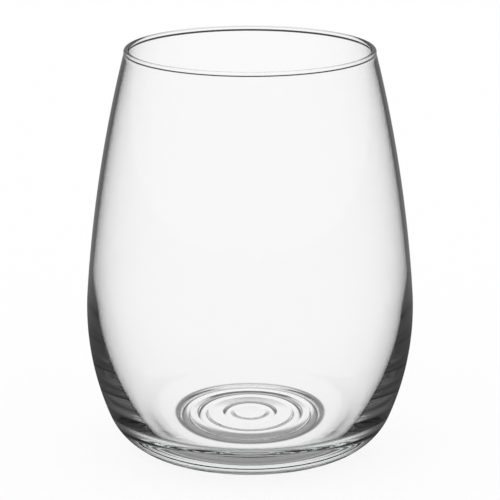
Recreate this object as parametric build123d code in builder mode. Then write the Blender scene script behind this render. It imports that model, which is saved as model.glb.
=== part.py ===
"""Stemless wine glass: one turned section, cut into four zones that meet face to face on flat rings.

Lengths are millimetres and angles degrees. The glass stands on z = 0 with its axis on +Z.
"""
import os
from math import asin, degrees, sqrt

from build123d import *

os.makedirs("parts", exist_ok=True)

# Outside of the bowl: a heel arc, a belly arc and a long side arc, each tangent to the next
glass_height = 114.3
widest_radius = 45.5
widest_height = 40.8
heel_arc_radius = 18.2
belly_arc_radius = 76.4
belly_arc_end = 4.0
mouth_radius = 34.5

# Inside of the bowl, which is widest above the outside's widest level, so that the heel is thick
belly_wall = 1.6
cavity_rise = 6.3
cavity_arc_radius = 70.0
cavity_arc_end = 5.5
mouth_wall = 1.15
floor_thickness = 9.5
floor_corner_radius = 6.0

# Fire-polished bead round the mouth
rim_bead_diameter = 1.5

# Underside: a flat bearing ring round a shallow domed hollow, with turned grooves in the hollow
bearing_width = 0.8
punt_depth = 1.2
groove_inset = 3.2
groove_pitch = 5.2
centre_groove_radius = 6.1
groove_width = 3.2
groove_depth = 0.5

# Heights of the zones
base_height = 24.0
belly_height = 36.0
rim_height = 3.0


def corner_in_arc(arc_radius, arc_centre, arc_height, corner_radius, corner_height):
    """Radius from the axis of a corner arc's centre, and the angle at which it touches the larger arc."""
    reach = arc_radius - corner_radius
    drop = arc_height - corner_height
    return arc_centre + sqrt(reach**2 - drop**2), -degrees(asin(drop / reach))


# Where the outside's arcs meet
belly_centre = widest_radius - belly_arc_radius
foot_radius, heel_arc_end = corner_in_arc(
    belly_arc_radius, belly_centre, widest_height, heel_arc_radius, heel_arc_radius
)
lip_height = glass_height - rim_bead_diameter / 2

# Where the inside's arcs meet
cavity_height = widest_height + cavity_rise
cavity_centre = widest_radius - belly_wall - cavity_arc_radius
corner_height = floor_thickness + floor_corner_radius
floor_radius, corner_arc_end = corner_in_arc(
    cavity_arc_radius, cavity_centre, cavity_height, floor_corner_radius, corner_height
)
inner_mouth_radius = mouth_radius - mouth_wall

# Where the hollow and its grooves lie
punt_radius = foot_radius - bearing_width
punt_arc_radius = (punt_radius**2 + punt_depth**2) / (2 * punt_depth)
outer_groove_radius = punt_radius - groove_inset
middle_groove_radius = outer_groove_radius - groove_pitch
groove_arc_radius = ((groove_width / 2) ** 2 + groove_depth**2) / (2 * groove_depth)

# Levels at which the zones meet
base_top = base_height
belly_top = base_top + belly_height
wall_top = glass_height - rim_height


def punt_height(radius):
    """Height of the hollow's dome above the table at a distance from the axis."""
    return punt_depth - punt_arc_radius + sqrt(punt_arc_radius**2 - radius**2)


# Half section of the whole glass, on the XZ plane
with BuildSketch(Plane.XZ) as section:
    with BuildLine():
        punt = TangentArc((0, punt_depth), (punt_radius, 0), tangent=(1, 0))
        Line(punt @ 1, (foot_radius, 0))
        CenterArc((foot_radius, heel_arc_radius), heel_arc_radius, -90, 90 + heel_arc_end)
        outside = CenterArc(
            (belly_centre, widest_height), belly_arc_radius, heel_arc_end, belly_arc_end - heel_arc_end
        )
        outside_wall = TangentArc(outside @ 1, (mouth_radius, lip_height), tangent=outside % 1)
        lip = Line(outside_wall @ 1, (inner_mouth_radius, lip_height))
        inside = CenterArc(
            (cavity_centre, cavity_height), cavity_arc_radius, corner_arc_end, cavity_arc_end - corner_arc_end
        )
        TangentArc(inside @ 1, lip @ 1, tangent=inside % 1)
        CenterArc((floor_radius, corner_height), floor_corner_radius, -90, 90 + corner_arc_end)
        Polyline((floor_radius, floor_thickness), (0, floor_thickness), (0, punt_depth))
    make_face()
    with Locations((mouth_radius - mouth_wall / 2, lip_height)):
        Circle(rim_bead_diameter / 2)
    for radius in (outer_groove_radius, middle_groove_radius, centre_groove_radius):
        with Locations((radius, punt_height(radius) + groove_depth - groove_arc_radius)):
            Circle(groove_arc_radius, mode=Mode.SUBTRACT)

# Base: the thick floor and heel, with the bearing ring and the hollow under it
with BuildPart() as base:
    revolve(section.sketch, axis=Axis.Z)
    split(bisect_by=Plane.XY.offset(base_top), keep=Keep.BOTTOM)

# Belly: the widest stretch of the bowl, where the wall thins upwards
with BuildPart() as belly:
    revolve(section.sketch, axis=Axis.Z)
    split(bisect_by=Plane.XY.offset(base_top), keep=Keep.TOP)
    split(bisect_by=Plane.XY.offset(belly_top), keep=Keep.BOTTOM)

# Side wall: the thin stretch that draws in towards the mouth
with BuildPart() as side_wall:
    revolve(section.sketch, axis=Axis.Z)
    split(bisect_by=Plane.XY.offset(belly_top), keep=Keep.TOP)
    split(bisect_by=Plane.XY.offset(wall_top), keep=Keep.BOTTOM)

# Rim: the last of the wall and the bead
with BuildPart() as rim:
    revolve(section.sketch, axis=Axis.Z)
    split(bisect_by=Plane.XY.offset(wall_top), keep=Keep.TOP)

base.part.label = "base"
belly.part.label = "belly"
side_wall.part.label = "side_wall"
rim.part.label = "rim"
export_step(base.part, "parts/base.step")
export_step(belly.part, "parts/belly.step")
export_step(side_wall.part, "parts/side_wall.step")
export_step(rim.part, "parts/rim.step")
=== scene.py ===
"""Stemless wine glass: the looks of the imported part, standing on a white table in a soft studio.

Lengths are metres and angles degrees. The glass stands on z = 0 with its axis on +Z, as in the CAD frame.
Its half section is drawn on the XZ plane, where an angle runs from +X towards +Z.
"""
import logging
import math
from dataclasses import dataclass
from enum import Enum

import bpy
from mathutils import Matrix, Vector


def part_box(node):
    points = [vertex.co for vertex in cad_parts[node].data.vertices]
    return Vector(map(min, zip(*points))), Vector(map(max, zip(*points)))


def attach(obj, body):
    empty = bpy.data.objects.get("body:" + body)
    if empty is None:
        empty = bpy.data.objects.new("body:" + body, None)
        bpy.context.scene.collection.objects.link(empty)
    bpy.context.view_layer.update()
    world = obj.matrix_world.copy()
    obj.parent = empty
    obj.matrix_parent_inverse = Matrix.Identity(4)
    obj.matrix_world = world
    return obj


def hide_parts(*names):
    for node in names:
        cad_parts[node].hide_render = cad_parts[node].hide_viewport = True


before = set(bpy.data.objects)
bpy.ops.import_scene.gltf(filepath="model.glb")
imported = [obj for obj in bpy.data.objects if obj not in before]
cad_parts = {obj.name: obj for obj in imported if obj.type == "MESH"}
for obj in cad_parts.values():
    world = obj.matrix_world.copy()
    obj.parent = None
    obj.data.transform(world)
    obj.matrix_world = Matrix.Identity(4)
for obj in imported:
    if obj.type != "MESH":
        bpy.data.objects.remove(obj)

log = logging.getLogger("stemless_glass")

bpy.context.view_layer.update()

Point = tuple[float, float]
Colour = tuple[float, float, float, float]

WHITE: Colour = (1.0, 1.0, 1.0, 1.0)
STRAIGHT_DOWN = -90.0


class Turn(Enum):
    """Which way an arc is followed on the half section, with X to the right and Z up."""

    LEFT = 1.0
    RIGHT = -1.0


class Crossing(Enum):
    """Which of the two points where circles cross is meant."""

    INNER = "nearer the axis"
    OUTER = "farther from the axis"
    LOWER = "nearer the table"


class Ray(Enum):
    """Outputs of the Light Path node that the studio's materials tell apart, to paint light and shade by the
    kind of ray.
    """

    CAMERA = "Is Camera Ray"
    GLOSSY = "Is Glossy Ray"
    TRANSMISSION = "Is Transmission Ray"
    MIRRORED = "Glossy Depth"
    PASSED = "Transmission Depth"


@dataclass(frozen=True)
class Circle:
    """A circle on the half section.

    Attributes:
        out: distance of its centre from the glass's axis.
        height: height of its centre above the table.
        radius: its radius.
    """

    out: float
    height: float
    radius: float

    def at(self, angle: float) -> Point:
        """Point of the circle at an angle."""
        turn = math.radians(angle)
        return self.out + self.radius * math.cos(turn), self.height + self.radius * math.sin(turn)

    def angle_to(self, point: Point) -> float:
        """Angle at which a point is seen from the centre."""
        return math.degrees(math.atan2(point[1] - self.height, point[0] - self.out))

    def corner(self, radius: float, height: float) -> "Circle":
        """Smaller circle that touches this one from inside.

        Args:
            radius: radius of the smaller circle.
            height: height of its centre.

        Returns:
            The smaller circle, on the side away from the axis.
        """
        reach = self.radius - radius
        drop = self.height - height
        return Circle(self.out + math.sqrt(reach**2 - drop**2), height, radius)

    def carry_on(self, angle: float, end: Point) -> "Circle":
        """Circle that leaves this one without a kink and runs through a point.

        Args:
            angle: where it leaves this circle.
            end: the point that it runs through.

        Returns:
            The circle that carries the line on.
        """
        start = self.at(angle)
        normal = Vector((math.cos(math.radians(angle)), math.sin(math.radians(angle))))
        chord = Vector(end) - Vector(start)
        radius = -chord.length_squared / (2 * chord.dot(normal))
        centre = Vector(start) - radius * normal
        return Circle(centre.x, centre.y, radius)

    def meets(self, other: "Circle", which: Crossing) -> Point:
        """Point where two circles cross.

        Args:
            other: the other circle.
            which: which of the two points.

        Returns:
            That point.
        """
        start = Vector((self.out, self.height))
        between = Vector((other.out, other.height)) - start
        along = (between.length_squared + self.radius**2 - other.radius**2) / (2 * between.length)
        aside = math.sqrt(self.radius**2 - along**2)
        foot = start + between.normalized() * along
        side = between.normalized().orthogonal() * aside
        points = [tuple(foot + side), tuple(foot - side)]
        order = 1 if which is Crossing.LOWER else 0
        points.sort(key=lambda point: point[order])
        return points[1] if which is Crossing.OUTER else points[0]


class Template:
    """A half section drawn in edit mode as one chain of edges, then turned about the axis.

    Attributes:
        seed_size: size of the plane that is merged into the first vertex.
        fewest_steps: edges in the shortest arc.
        corner_share: share of a rounding's width within which a vertex is the corner.
        merge_distance: vertices nearer than this are one.
    """

    seed_size: float = 0.01
    fewest_steps: int = 2
    corner_share: float = 0.1
    merge_distance: float = 0.000001

    def __init__(self, name: str, start: Point) -> None:
        """Puts the first vertex in place.

        Args:
            name: name of the object.
            start: where the chain begins.
        """
        bpy.ops.object.select_all(action="DESELECT")
        bpy.ops.mesh.primitive_plane_add(size=self.seed_size)
        self.piece = bpy.context.object
        self.piece.name = name
        self.piece.data.name = name
        self.end = start
        bpy.ops.object.mode_set(mode="EDIT")
        bpy.ops.mesh.select_mode(type="VERT")
        bpy.ops.mesh.select_all(action="SELECT")
        bpy.ops.mesh.merge(type="CENTER")
        bpy.ops.transform.translate(value=(start[0], 0.0, start[1]))

    def arc(self, circle: Circle, to: Point, turn: Turn, step: float) -> None:
        """Carries the chain along a circle.

        Args:
            circle: the circle that the chain is on.
            to: where the arc ends.
            turn: which way round it goes.
            step: length of an edge, at most.
        """
        sweep = (circle.angle_to(to) - circle.angle_to(self.end)) * turn.value % 360
        length = math.radians(sweep) * circle.radius
        bpy.ops.mesh.spin(
            steps=max(self.fewest_steps, math.ceil(length / step)),
            angle=math.radians(sweep) * turn.value,
            center=(circle.out, 0.0, circle.height),
            axis=(0.0, 1.0, 0.0),
        )
        self.end = to

    def line(self, to: Point, step: float) -> None:
        """Carries the chain straight on.

        Args:
            to: where the line ends.
            step: length of an edge, at most.
        """
        run = Vector(to) - Vector(self.end)
        count = math.ceil(run.length / step)
        for _ in range(count):
            move = (run.x / count, 0.0, run.y / count)
            bpy.ops.mesh.extrude_region_move(TRANSFORM_OT_translate={"value": move})
        self.end = to

    def soften(self, corners: list[Point], width: float, segments: int) -> None:
        """Rounds corners of the chain.

        Args:
            corners: where the corners are.
            width: how far the rounding reaches along each side.
            segments: edges in each rounding.
        """
        near = width * self.corner_share
        bpy.ops.mesh.select_all(action="DESELECT")
        bpy.ops.object.mode_set(mode="OBJECT")
        for vertex in self.piece.data.vertices:
            place = Vector((vertex.co.x, vertex.co.z))
            vertex.select = any((place - Vector(corner)).length < near for corner in corners)
        bpy.ops.object.mode_set(mode="EDIT")
        bpy.ops.mesh.bevel(offset=width, offset_type="OFFSET", segments=segments, affect="VERTICES")

    def turned(self, steps: int, smooth_angle: float) -> bpy.types.Object:
        """Turns the chain about the axis into a closed mesh.

        Args:
            steps: faces round the axis.
            smooth_angle: edges flatter than this are shaded smooth.

        Returns:
            The finished object, at the origin.
        """
        bpy.ops.mesh.select_all(action="SELECT")
        bpy.ops.mesh.spin(steps=steps, angle=math.tau, center=(0.0, 0.0, 0.0), axis=(0.0, 0.0, 1.0))
        bpy.ops.mesh.select_all(action="SELECT")
        bpy.ops.mesh.remove_doubles(threshold=self.merge_distance)
        bpy.ops.mesh.normals_make_consistent(inside=False)
        bpy.ops.object.mode_set(mode="OBJECT")
        bpy.ops.object.shade_smooth_by_angle(angle=math.radians(smooth_angle))
        return self.piece


class NodeSheet:
    """Adds and joins the nodes of one material, world or group."""

    def __init__(self, tree: bpy.types.NodeTree) -> None:
        """Starts from an empty tree."""
        self.tree = tree
        tree.nodes.clear()

    def add(self, kind: str, values: dict | None = None, **settings: object) -> bpy.types.Node:
        """Adds a node.

        Args:
            kind: the node's type.
            values: what its input sockets start with or are linked from, by name or number.
            settings: the node's own properties.

        Returns:
            The node.
        """
        node = self.tree.nodes.new(kind)
        for name, value in settings.items():
            setattr(node, name, value)
        for socket, value in (values or {}).items():
            if isinstance(value, bpy.types.NodeSocket):
                self.tree.links.new(value, node.inputs[socket])
            else:
                node.inputs[socket].default_value = value
        return node

    def maths(self, operation: str, *values: object) -> bpy.types.NodeSocket:
        """Adds a Math node.

        Args:
            operation: what it works out.
            values: its inputs, as numbers or sockets.

        Returns:
            Its output socket.
        """
        node = self.add("ShaderNodeMath", dict(enumerate(values)), operation=operation)
        return node.outputs[0]

    def fade(self, value: bpy.types.NodeSocket, start: float, end: float) -> bpy.types.NodeSocket:
        """Adds a smooth step.

        Args:
            value: what is measured.
            start: where the step leaves 0.
            end: where it reaches 1.

        Returns:
            The step's output socket.
        """
        values = {"Value": value, "From Min": start, "From Max": end}
        node = self.add("ShaderNodeMapRange", values, interpolation_type="SMOOTHSTEP")
        return node.outputs["Result"]

    def dimmed(self, value: object, mask: bpy.types.NodeSocket, level: float) -> bpy.types.NodeSocket:
        """Dims a brightness where a mask covers it.

        Args:
            value: the brightness so far, as a number or a socket.
            mask: where it is dimmed, from 0 to 1.
            level: what is left of it under the full mask.

        Returns:
            The dimmed brightness.
        """
        left = self.maths("MULTIPLY_ADD", mask, level - 1.0, 1.0)
        return self.maths("MULTIPLY", left, value)

    def place(self) -> bpy.types.NodeSocket:
        """Adds the object's own coordinates."""
        return self.add("ShaderNodeTexCoord").outputs["Object"]

    def distance(self, place: bpy.types.NodeSocket, point: tuple[float, ...]) -> bpy.types.NodeSocket:
        """Adds the distance from a point.

        Args:
            place: what is measured.
            point: where the distance is 0.

        Returns:
            The distance.
        """
        node = self.add("ShaderNodeVectorMath", {0: place, 1: point}, operation="DISTANCE")
        return node.outputs["Value"]


@dataclass(frozen=True)
class ClearGlass:
    """Clear soda-lime glass, blown and fire-polished.

    Attributes:
        colour: what a thin wall lets through.
        index: index of refraction.
        absorption: colour that deep glass turns.
        density: how soon it turns, per metre.
        roughness: how rough its polish is.
        ripple_scale: blown ripples in a metre.
        ripple_detail: layers of finer ripples in them.
        ripple_height: height of the ripples.
    """

    colour: Colour = WHITE
    index: float = 1.51
    absorption: Colour = (0.82, 0.84, 0.835, 1.0)
    density: float = 4.0
    roughness: float = 0.0
    ripple_scale: float = 45.0
    ripple_detail: float = 2.0
    ripple_height: float = 0.0000025

    def material(self) -> bpy.types.Material:
        """Makes the material.

        Returns:
            The material, named after the record's slot.
        """
        material = bpy.data.materials.new("clear_glass")
        material.use_nodes = True
        sheet = NodeSheet(material.node_tree)
        ripple = sheet.add(
            "ShaderNodeTexNoise",
            {"Vector": sheet.place(), "Scale": self.ripple_scale, "Detail": self.ripple_detail},
        )
        bump = sheet.add(
            "ShaderNodeBump",
            {"Height": ripple.outputs[0], "Strength": 1.0, "Distance": self.ripple_height},
        )
        glass = sheet.add(
            "ShaderNodeBsdfPrincipled",
            {
                "Base Color": self.colour,
                "Metallic": 0.0,
                "Roughness": self.roughness,
                "IOR": self.index,
                "Transmission Weight": 1.0,
                "Normal": bump.outputs[0],
            },
        )
        depth = sheet.add("ShaderNodeVolumeAbsorption", {"Color": self.absorption, "Density": self.density})
        sheet.add("ShaderNodeOutputMaterial", {"Surface": glass.outputs[0], "Volume": depth.outputs[0]})
        return material


class Sight:
    """What the set is to the light that reaches it through the glass.

    The set is white to light that passes through both walls of the bowl. The rest draws the glass's outline
    as painted shade, where the set is painted darker: light that only the rim or the heel lets through, and
    light that is mirrored off the outside, once in a wall, or often. Each of these is a mask.

    Attributes:
        none_below: counts below this are none.
        once: count of light that is mirrored once.
        once_spread: how far a count may be from that.
        often_above: counts of mirrored light above this are often.
        often_share: share of mirrored to passed, above which the mirrored light counts.
        one_wall: middle of the counts of light that has passed one or two faces.
        one_wall_spread: how far a count may be from that.
        paths: outputs of the Light Path node.
        through_edge: light that only the rim or the heel lets through.
        off_outside: light that is mirrored off the outside.
        mirrored_once: light that is mirrored once in a wall.
        mirrored_often: light that is mirrored often.
        at_glass: light that comes from the glass at all.
    """

    none_below: float = 0.5
    once: float = 1.0
    once_spread: float = 0.5
    often_above: float = 1.5
    often_share: float = 0.3
    one_wall: float = 1.5
    one_wall_spread: float = 1.0

    def __init__(self, sheet: NodeSheet) -> None:
        """Adds the nodes that tell the kinds of light apart.

        Args:
            sheet: the material's nodes.
        """
        self.paths = sheet.add("ShaderNodeLightPath").outputs
        passed = self.paths[Ray.PASSED.value]
        mirrored = self.paths[Ray.MIRRORED.value]
        one_wall = sheet.maths("COMPARE", passed, self.one_wall, self.one_wall_spread)
        once = sheet.maths("COMPARE", mirrored, self.once, self.once_spread)
        not_mirrored = sheet.maths("LESS_THAN", mirrored, self.none_below)
        not_passed = sheet.maths("LESS_THAN", passed, self.none_below)
        often = sheet.maths("GREATER_THAN", mirrored, self.often_above)
        most = sheet.maths("GREATER_THAN", mirrored, sheet.maths("MULTIPLY", passed, self.often_share))
        glossy = self.paths[Ray.GLOSSY.value]
        self.through_edge = sheet.maths("MULTIPLY", one_wall, not_mirrored)
        self.off_outside = sheet.maths("MULTIPLY", once, not_passed)
        self.mirrored_once = sheet.maths("MULTIPLY", once, one_wall)
        self.mirrored_often = sheet.maths("MULTIPLY", most, often)
        self.at_glass = sheet.maths("MAXIMUM", glossy, self.paths[Ray.TRANSMISSION.value])


@dataclass(frozen=True)
class DomeLightAndPaintedShade:
    """White light all round, with low walls painted dark only to the light that draws the glass's outline.

    Attributes:
        dim: brightness at the foot of the walls in the outline.
        half_dim: brightness at the top of the walls in the outline.
        outside_dim: brightness of the walls to light that is mirrored off the outside.
        once_dim: brightness of the walls to light that is mirrored once in a wall.
        wall_foot: rise, as a sine, from which the walls grow lighter.
        wall_top: rise up to which the walls go.
        ceiling: rise from which the dome is white.
    """

    dim: float = 0.04
    half_dim: float = 0.13
    outside_dim: float = 0.4
    once_dim: float = 0.3
    wall_foot: float = 0.30
    wall_top: float = 0.65
    ceiling: float = 0.80

    def material(self) -> bpy.types.Material:
        """Makes the material.

        Returns:
            The material, which sends out light.
        """
        material = bpy.data.materials.new("studio_dome")
        material.use_nodes = True
        sheet = NodeSheet(material.node_tree)
        sight = Sight(sheet)
        direction = sheet.add("ShaderNodeVectorMath", {0: sheet.place()}, operation="NORMALIZE").outputs[0]
        rise = sheet.add("ShaderNodeSeparateXYZ", {"Vector": direction}).outputs["Z"]
        low = sheet.fade(rise, self.ceiling, self.wall_top)
        lowest = sheet.fade(rise, self.wall_top, self.wall_foot)
        # painted shade: the low walls are dark only to light that draws the glass's outline or its
        # reflections
        outline = sheet.maths("MAXIMUM", sight.through_edge, sight.mirrored_often)
        strength = sheet.dimmed(1.0, sheet.maths("MULTIPLY", low, outline), self.half_dim)
        strength = sheet.dimmed(strength, sheet.maths("MULTIPLY", lowest, outline), self.dim / self.half_dim)
        strength = sheet.dimmed(strength, sheet.maths("MULTIPLY", low, sight.off_outside), self.outside_dim)
        strength = sheet.dimmed(strength, sheet.maths("MULTIPLY", low, sight.mirrored_once), self.once_dim)
        light = sheet.add("ShaderNodeEmission", {"Strength": strength})
        sheet.add("ShaderNodeOutputMaterial", {"Surface": light.outputs[0]})
        return material


@dataclass(frozen=True)
class TableFinishAndPaintedShade:
    """White table that keeps the glass's shadow, and shows the glass painted shade under its foot and in its
    outline.

    Attributes:
        white: how much light the table sends back.
        dim: what is left of once_dim and often_dim away from the glass.
        edge_dim: brightness of the painted dark ring that the rim and the heel let through.
        outside_dim: brightness of the table to light that is mirrored off the outside.
        outside_near: what is left of that round the foot.
        once_dim: brightness of the table by the glass to light that is mirrored once in a wall.
        often_dim: brightness of the table by the glass to light that is mirrored often.
        by_glass: distances from the axis between which the table by the glass ends.
        round_foot: distances between which what is mirrored off the outside grows lighter.
        ring_start: distances between which the painted dark ring begins that the rim and the heel let
            through.
        ring_end: distances between which it ends.
        foot_radius: radius of the painted shadow under the foot.
        foot_offset: how far behind the axis that painted shadow lies.
        contact_width: half the width of the painted contact shadow, a dark line round the painted shadow.
        contact_shade: what is left of white in that painted line.
        light_radius: radius of the painted light that falls in the painted shadow.
        light_offset: how far behind the axis that painted light falls.
        shade_soft: softness of the painted shadow's edges.
        foot_shade: what is left of white in the painted shadow.
        camera_glow: share of the table's own light that the camera sees.
    """

    white: float = 0.96
    dim: float = 0.08
    edge_dim: float = 0.7
    outside_dim: float = 0.3
    outside_near: float = 0.25
    once_dim: float = 0.42
    often_dim: float = 0.06
    by_glass: tuple[float, float] = (0.030, 0.040)
    round_foot: tuple[float, float] = (0.090, 0.280)
    ring_start: tuple[float, float] = (0.100, 0.130)
    ring_end: tuple[float, float] = (0.200, 0.280)
    foot_radius: float = 0.0216
    foot_offset: float = 0.0020
    contact_width: float = 0.0010
    contact_shade: float = 0.45
    light_radius: float = 0.0188
    light_offset: float = 0.0052
    shade_soft: float = 0.0008
    foot_shade: float = 0.25
    camera_glow: float = 0.88

    def shade(self, sheet: NodeSheet, vector: bpy.types.NodeSocket) -> bpy.types.NodeSocket:
        """Works out the painted shadow under the foot: a crescent at the front, and a dark line all round.

        Args:
            sheet: the material's nodes.
            vector: the place on the table.

        Returns:
            What is left of white.
        """
        soft = self.shade_soft
        from_foot = sheet.distance(vector, (0.0, self.foot_offset, 0.0))
        from_light = sheet.distance(vector, (0.0, self.light_offset, 0.0))
        # painted shadow: inside the foot's disc but outside a painted lit disc set further back, so a
        # crescent at the front
        unlit = sheet.fade(from_light, self.light_radius - soft, self.light_radius + soft)
        under = sheet.fade(from_foot, self.foot_radius + soft, self.foot_radius)
        # painted contact shadow: a dark line round the rim of the painted shadow
        from_line = sheet.maths("ABSOLUTE", sheet.maths("SUBTRACT", from_foot, self.foot_radius))
        line = sheet.fade(from_line, self.contact_width, 0.0)
        left = sheet.dimmed(1.0, sheet.maths("MULTIPLY", unlit, under), self.foot_shade)
        return sheet.dimmed(left, line, self.contact_shade)

    def brightness(self, sheet: NodeSheet, sight: Sight) -> bpy.types.NodeSocket:
        """Works out the painted light and shade that the glass sees on the table.

        Args:
            sheet: the material's nodes.
            sight: the kinds of light that reach the table.

        Returns:
            The brightness, up to white.
        """
        vector = sheet.place()
        away = sheet.add("ShaderNodeVectorMath", {0: vector}, operation="LENGTH").outputs["Value"]
        far = sheet.fade(away, *self.by_glass)
        near = sheet.fade(away, *self.round_foot[::-1])
        begun = sheet.fade(away, *self.ring_start)
        not_ended = sheet.fade(away, *self.ring_end[::-1])
        ring = sheet.maths("MULTIPLY", begun, not_ended)
        mirrored = sheet.maths("MAXIMUM", sight.mirrored_once, sight.mirrored_often)
        left = self.shade(sheet, vector)
        # painted shade: darker to light thrown off the outside, mirrored in a wall or let through the rim
        # and heel, to draw the glass's outline
        left = sheet.dimmed(left, sight.off_outside, self.outside_dim)
        left = sheet.dimmed(left, sheet.maths("MULTIPLY", near, sight.off_outside), self.outside_near)
        left = sheet.dimmed(left, sight.mirrored_once, self.once_dim)
        left = sheet.dimmed(left, sight.mirrored_often, self.often_dim)
        left = sheet.dimmed(left, sheet.maths("MULTIPLY", ring, sight.through_edge), self.edge_dim)
        return sheet.dimmed(left, sheet.maths("MULTIPLY", far, mirrored), self.dim)

    def material(self) -> bpy.types.Material:
        """Makes the material.

        Returns:
            The material: lit white to the camera, and glowing with painted light and shade to the glass.
        """
        material = bpy.data.materials.new("white_table")
        material.use_nodes = True
        sheet = NodeSheet(material.node_tree)
        sight = Sight(sheet)
        paint = (self.white, self.white, self.white, 1.0)
        matt = sheet.add("ShaderNodeBsdfDiffuse", {"Color": paint})
        glow = sheet.add("ShaderNodeEmission")
        glow_share = sheet.maths("MULTIPLY", sight.paths[Ray.CAMERA.value], self.camera_glow)
        plain = sheet.add("ShaderNodeMixShader", {0: glow_share, 1: matt.outputs[0], 2: glow.outputs[0]})
        # the glass sees the table as a glow of painted light and shade, not as a lit surface
        seen = sheet.add("ShaderNodeEmission", {"Strength": self.brightness(sheet, sight)})
        top = sheet.add("ShaderNodeMixShader", {0: sight.at_glass, 1: plain.outputs[0], 2: seen.outputs[0]})
        under = sheet.add("ShaderNodeNewGeometry").outputs["Backfacing"]
        clear = sheet.add("ShaderNodeBsdfTransparent")
        both = sheet.add("ShaderNodeMixShader", {0: under, 1: top.outputs[0], 2: clear.outputs[0]})
        sheet.add("ShaderNodeOutputMaterial", {"Surface": both.outputs[0]})
        return material


@dataclass(frozen=True)
class GlassSizes:
    """Sizes of the half section, as in the CAD model.

    Attributes:
        height: height of the glass, from the frame.
        widest_radius: radius of the belly, from the frame.
        widest_height: height at which the belly is widest.
        heel_arc: radius of the heel's arc.
        belly_arc: radius of the belly's arc.
        belly_arc_end: angle at which the belly's arc goes over into the outer wall.
        mouth_radius: outer radius of the wall at the bead.
        belly_wall: widest outer radius less the widest inner one.
        cavity_rise: how far above the outside's widest height the cavity is widest.
        cavity_arc: radius of the cavity's arc.
        cavity_arc_end: angle at which the cavity's arc goes over into the inner wall.
        mouth_wall: thickness of the wall at the bead.
        floor_thickness: height of the floor above the table.
        floor_corner: radius of the arc between the floor and the cavity.
        rim_bead: diameter of the bead round the mouth.
        bearing_width: width of the ring that the glass stands on.
        punt_depth: depth of the hollow under the floor.
        groove_radii: radii of the rings in the hollow.
        groove_width: width of a ring.
        groove_depth: depth of a ring.
    """

    height: float
    widest_radius: float
    widest_height: float = 0.0408
    heel_arc: float = 0.0182
    belly_arc: float = 0.0764
    belly_arc_end: float = 4.0
    mouth_radius: float = 0.0345
    belly_wall: float = 0.0016
    cavity_rise: float = 0.0063
    cavity_arc: float = 0.0700
    cavity_arc_end: float = 5.5
    mouth_wall: float = 0.00115
    floor_thickness: float = 0.0095
    floor_corner: float = 0.0060
    rim_bead: float = 0.0015
    bearing_width: float = 0.0008
    punt_depth: float = 0.0012
    groove_radii: tuple[float, ...] = (0.0061, 0.01353, 0.01873)
    groove_width: float = 0.0032
    groove_depth: float = 0.0005


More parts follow.
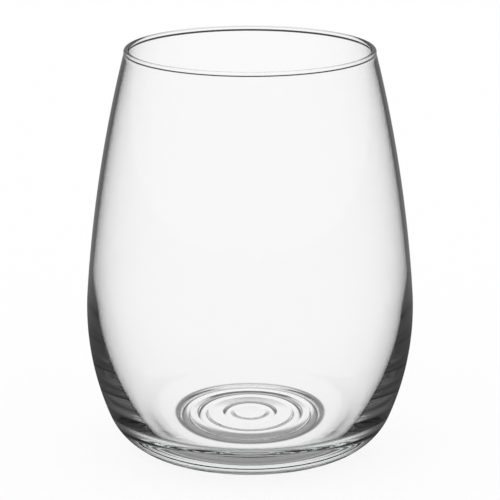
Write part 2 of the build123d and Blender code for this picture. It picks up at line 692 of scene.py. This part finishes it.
@dataclass
class StemlessGlass:
    """The glass: one turned piece with a thick ringed floor, a round belly and a beaded mouth.

    Attributes:
        sizes: its half section.
        finish: what it is made of.
        fine_step: edge length on the underside and the floor's corner.
        wall_step: edge length along the walls.
        bead_step: edge length round the bead.
        floor_step: edge length across the floor.
        ring_softness: rounding of the rings' edges.
        bead_softness: rounding where the bead flows into the wall.
        soft_segments: edges in each rounding.
        turn_steps: faces round the axis.
        smooth_angle: edges flatter than this are shaded smooth.
    """

    sizes: GlassSizes
    finish: ClearGlass
    fine_step: float = 0.0004
    wall_step: float = 0.0012
    bead_step: float = 0.00018
    floor_step: float = 0.004
    ring_softness: float = 0.00025
    bead_softness: float = 0.0001
    soft_segments: int = 3
    turn_steps: int = 256
    smooth_angle: float = 40.0

    def __post_init__(self) -> None:
        """Works out the circles of the half section."""
        s = self.sizes
        self.belly = Circle(s.widest_radius - s.belly_arc, s.widest_height, s.belly_arc)
        self.heel = self.belly.corner(s.heel_arc, s.heel_arc)
        lip_height = s.height - s.rim_bead / 2
        self.outer_wall = self.belly.carry_on(s.belly_arc_end, (s.mouth_radius, lip_height))
        self.bead = Circle(s.mouth_radius - s.mouth_wall / 2, lip_height, s.rim_bead / 2)
        cavity_out = s.widest_radius - s.belly_wall - s.cavity_arc
        self.cavity = Circle(cavity_out, s.widest_height + s.cavity_rise, s.cavity_arc)
        self.inner_wall = self.cavity.carry_on(s.cavity_arc_end, (s.mouth_radius - s.mouth_wall, lip_height))
        self.floor_corner = self.cavity.corner(s.floor_corner, s.floor_thickness + s.floor_corner)
        self.punt_edge = (self.heel.out - s.bearing_width, 0.0)
        punt_radius = (self.punt_edge[0] ** 2 + s.punt_depth**2) / (2 * s.punt_depth)
        self.punt = Circle(0.0, s.punt_depth - punt_radius, punt_radius)
        self.grooves = [self.groove(out) for out in s.groove_radii]

    def groove(self, out: float) -> Circle:
        """Circle that cuts a ring into the hollow.

        Args:
            out: the ring's radius.

        Returns:
            The circle of its section.
        """
        s = self.sizes
        radius = ((s.groove_width / 2) ** 2 + s.groove_depth**2) / (2 * s.groove_depth)
        dome = self.punt.height + math.sqrt(self.punt.radius**2 - out**2)
        return Circle(out, dome + s.groove_depth - radius, radius)

    def draw_underside(self, template: Template) -> list[Point]:
        """Draws the hollow with its rings, and the bearing ring.

        Args:
            template: the half section so far.

        Returns:
            The corners that the rings leave.
        """
        corners = []
        for groove in self.grooves:
            near = self.punt.meets(groove, Crossing.INNER)
            far = self.punt.meets(groove, Crossing.OUTER)
            template.arc(self.punt, near, Turn.RIGHT, self.fine_step)
            template.arc(groove, far, Turn.RIGHT, self.fine_step)
            corners += [near, far]
        template.arc(self.punt, self.punt_edge, Turn.RIGHT, self.fine_step)
        template.line((self.heel.out, 0.0), self.fine_step)
        return corners + [self.punt_edge]

    def draw_outside(self, template: Template) -> None:
        """Draws the heel, the belly and the outer wall, up to the bead."""
        touch = self.belly.angle_to((self.heel.out, self.heel.height))
        template.arc(self.heel, self.heel.at(touch), Turn.LEFT, self.fine_step)
        template.arc(self.belly, self.belly.at(self.sizes.belly_arc_end), Turn.LEFT, self.wall_step)
        foot = self.outer_wall.meets(self.bead, Crossing.LOWER)
        template.arc(self.outer_wall, foot, Turn.LEFT, self.wall_step)

    def draw_bead(self, template: Template) -> list[Point]:
        """Draws the fire-polished bead over the mouth.

        Args:
            template: the half section so far.

        Returns:
            The corners where the bead leaves the walls.
        """
        start = template.end
        end = self.inner_wall.meets(self.bead, Crossing.LOWER)
        template.arc(self.bead, end, Turn.LEFT, self.bead_step)
        return [start, end]

    def draw_inside(self, template: Template) -> None:
        """Draws the inner wall, the cavity and the floor, down to the axis."""
        touch = self.cavity.angle_to((self.floor_corner.out, self.floor_corner.height))
        template.arc(self.inner_wall, self.cavity.at(self.sizes.cavity_arc_end), Turn.RIGHT, self.wall_step)
        template.arc(self.cavity, self.cavity.at(touch), Turn.RIGHT, self.wall_step)
        template.arc(self.floor_corner, self.floor_corner.at(STRAIGHT_DOWN), Turn.RIGHT, self.fine_step)
        template.line((0.0, self.sizes.floor_thickness), self.floor_step)

    def build(self) -> bpy.types.Object:
        """Models and dresses the glass.

        Returns:
            The finished piece, which stands for all four zones of the CAD model.
        """
        template = Template("glass", (0.0, self.sizes.punt_depth))
        rings = self.draw_underside(template)
        self.draw_outside(template)
        lips = self.draw_bead(template)
        self.draw_inside(template)
        template.soften(rings, self.ring_softness, self.soft_segments)
        template.soften(lips, self.bead_softness, self.soft_segments)
        piece = template.turned(self.turn_steps, self.smooth_angle)
        piece.data.materials.append(self.finish.material())
        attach(piece, "root")
        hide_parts("base", "belly", "side_wall", "rim")
        log.info("glass: %d vertices, %d faces", len(piece.data.vertices), len(piece.data.polygons))
        return piece


@dataclass
class PhotoCamera:
    """Camera at the photograph's viewing angle.

    Attributes:
        distance: how far it stands from the glass's axis.
        height: its height above the table.
        aim_height: height of the point of the axis that it looks at.
        lens: focal length in millimetres.
        sensor: width of the sensor in millimetres.
    """

    distance: float = 0.844
    height: float = 0.2749
    aim_height: float = 0.0572
    lens: float = 225.51
    sensor: float = 36.0

    def build(self) -> bpy.types.Object:
        """Sets up the camera and makes it the scene's own.

        Returns:
            The camera.
        """
        bpy.ops.object.camera_add(location=(0.0, -self.distance, self.height))
        camera = bpy.context.object
        camera.name = "photo_camera"
        camera.data.lens = self.lens
        camera.data.sensor_width = self.sensor
        aim = Vector((0.0, 0.0, self.aim_height)) - camera.location
        camera.rotation_euler = aim.to_track_quat("-Z", "Y").to_euler()
        bpy.context.scene.camera = camera
        log.info("camera: %.1f mm lens at %.3f m", self.lens, self.distance)
        return camera


@dataclass
class Studio:
    """The set round the glass: a white table under a dome, and the room's light.

    Attributes:
        dome_light_and_painted_shade: light of the dome, with its painted dark walls.
        table_finish_and_painted_shade: surface of the table, with the painted shade that the glass sees on
            it.
        dome_radius: radius of the dome.
        dome_segments: faces round the dome.
        dome_rings: faces from the dome's foot to its head.
        table_radius: radius of the table.
        table_sides: sides of the table's edge.
        table_gap: room between the table and the glass's bearing ring.
        light_bounces: how often light may pass through or off the glass.
    """

    dome_light_and_painted_shade: DomeLightAndPaintedShade
    table_finish_and_painted_shade: TableFinishAndPaintedShade
    dome_radius: float = 30.0
    dome_segments: int = 96
    dome_rings: int = 48
    table_radius: float = 29.0
    table_sides: int = 96
    table_gap: float = 0.00005
    light_bounces: int = 32

    def build_dome(self) -> bpy.types.Object:
        """Makes the dome, which only the glass sees.

        Returns:
            The dome.
        """
        bpy.ops.object.select_all(action="DESELECT")
        bpy.ops.mesh.primitive_uv_sphere_add(
            segments=self.dome_segments, ring_count=self.dome_rings, radius=self.dome_radius
        )
        dome = bpy.context.object
        dome.name = "studio_dome"
        bpy.ops.object.shade_smooth()
        dome.data.materials.append(self.dome_light_and_painted_shade.material())
        dome.visible_camera = False
        dome.visible_diffuse = False
        dome.visible_shadow = False
        log.info("dome: %.0f m radius", self.dome_radius)
        return dome

    def build_table(self) -> bpy.types.Object:
        """Makes the table.

        Returns:
            The table.
        """
        bpy.ops.object.select_all(action="DESELECT")
        bpy.ops.mesh.primitive_circle_add(
            vertices=self.table_sides,
            radius=self.table_radius,
            fill_type="NGON",
            location=(0.0, 0.0, -self.table_gap),
        )
        table = bpy.context.object
        table.name = "white_table"
        table.data.materials.append(self.table_finish_and_painted_shade.material())
        log.info("table: %.0f m radius", self.table_radius)
        return table

    def build_room(self) -> bpy.types.World:
        """Makes the room's even white light.

        Returns:
            The world.
        """
        room = bpy.data.worlds.new("white_room")
        room.use_nodes = True
        sheet = NodeSheet(room.node_tree)
        light = sheet.add("ShaderNodeBackground", {"Color": WHITE, "Strength": 1.0})
        sheet.add("ShaderNodeOutputWorld", {"Surface": light.outputs[0]})
        bpy.context.scene.world = room
        return room

    def build(self) -> None:
        """Puts up the whole set and sets how light travels in it."""
        scene = bpy.context.scene
        scene.view_settings.view_transform = "Standard"
        scene.cycles.max_bounces = self.light_bounces
        scene.cycles.transmission_bounces = self.light_bounces
        scene.cycles.glossy_bounces = self.light_bounces
        self.build_dome()
        self.build_table()
        self.build_room()


def main() -> None:
    """Builds the glass, the camera and the studio."""
    logging.basicConfig(level=logging.INFO, format="%(name)s: %(message)s")
    _, belly_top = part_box("belly")
    _, rim_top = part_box("rim")
    sizes = GlassSizes(height=rim_top[2], widest_radius=belly_top[0])
    StemlessGlass(sizes, ClearGlass()).build()
    PhotoCamera().build()
    Studio(DomeLightAndPaintedShade(), TableFinishAndPaintedShade()).build()


if __name__ == "__main__":
    main()
